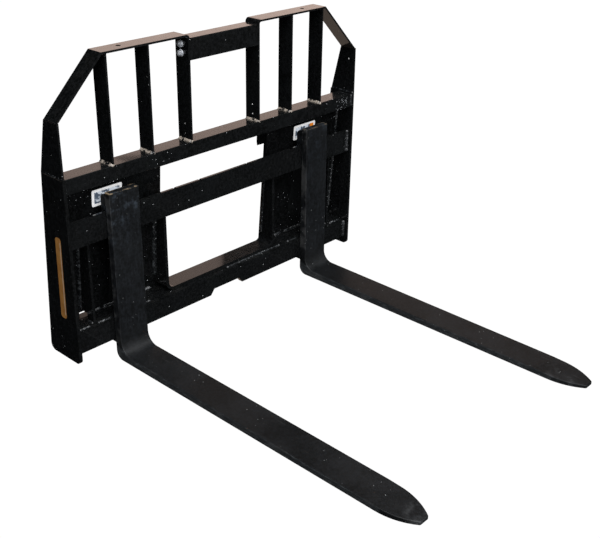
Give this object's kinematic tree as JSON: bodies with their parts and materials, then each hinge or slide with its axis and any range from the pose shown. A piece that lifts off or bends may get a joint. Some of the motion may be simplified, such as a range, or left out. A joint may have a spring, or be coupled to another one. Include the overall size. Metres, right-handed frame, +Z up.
{
  "type": "pallet fork attachment",
  "caption": "Skid-steer pallet fork frame with a tall load guard and window; its hooked forks slide sideways on two bars and lock with drop pins.",
  "frame": {"origin": "centre of the overall width and length, on the plane under the forks that stands on the ground", "axes": "+X to the attachment's left-to-right width as seen from the fork tips' side facing the guard, +Y from the fork tips towards the carrier, +Z up"},
  "size_m": [1.178, 1.212, 0.911],
  "materials": {
    "gloss_black": "glossy black powder coat",
    "weld_black": "glossy black paint over rippled weld",
    "fork_black": "satin black paint on forged steel",
    "zinc": "bright zinc plating",
    "label_white": "satin vinyl, plain",
    "stripe_gold": "gold vinyl, plain"
  },
  "bodies": {
    "frame": {"brace_bolts": "zinc", "brace_nuts": "zinc", "centre_brace": "gloss_black", "guard_welds": "weld_black", "left_attach_lip": "gloss_black", "left_attach_plate": "gloss_black", "left_guard_angle_bar": "gloss_black", "left_guard_inner_bar": "gloss_black", "left_guard_inner_upright": "gloss_black", "left_guard_outer_bar": "gloss_black", "left_guard_top_bar": "gloss_black", "left_guard_upright": "gloss_black", "left_plate_label": "label_white", "left_plate_rib": "gloss_black", "left_side_plate": "gloss_black", "left_side_stripe": "stripe_gold", "lip_gussets": "gloss_black", "lower_fork_bar": "gloss_black", "rib_welds": "weld_black", "right_attach_lip": "gloss_black", "right_attach_plate": "gloss_black", "right_guard_angle_bar": "gloss_black", "right_guard_inner_bar": "gloss_black", "right_guard_inner_upright": "gloss_black", "right_guard_outer_bar": "gloss_black", "right_guard_top_bar": "gloss_black", "right_guard_upright": "gloss_black", "right_plate_label": "label_white", "right_plate_rib": "gloss_black", "right_side_plate": "gloss_black", "right_side_stripe": "stripe_gold", "shelf_plate": "gloss_black", "shelf_welds": "weld_black", "side_plate_welds": "weld_black", "top_rail": "gloss_black", "upper_fork_bar": "gloss_black", "window_frame": "gloss_black", "window_welds": "weld_black"},
    "left_fork": {"left_fork": "fork_black", "left_upper_hook": "fork_black", "left_lower_hook": "fork_black", "left_hook_welds": "fork_black"},
    "right_fork": {"right_fork": "fork_black", "right_upper_hook": "fork_black", "right_lower_hook": "fork_black", "right_hook_welds": "fork_black"},
    "left_latch": {"left_latch_pin": "zinc", "left_latch_handle": "zinc"},
    "right_latch": {"right_latch_pin": "zinc", "right_latch_handle": "zinc"}
  },
  "joints": [
    {"name": "left_fork_slide", "type": "slide", "parent": "frame", "child": "left_fork", "axis": [1, 0, 0], "range_m": [-0.0995, 0.2985]},
    {"name": "right_fork_slide", "type": "slide", "parent": "frame", "child": "right_fork", "axis": [1, 0, 0], "range_m": [-0.2985, 0.0995]},
    {"name": "left_latch_lift", "type": "slide", "parent": "left_fork", "child": "left_latch", "axis": [0, 0, 1], "range_m": [-0.0065, 0]},
    {"name": "right_latch_lift", "type": "slide", "parent": "right_fork", "child": "right_latch", "axis": [0, 0, 1], "range_m": [-0.0065, 0]}
  ]
}
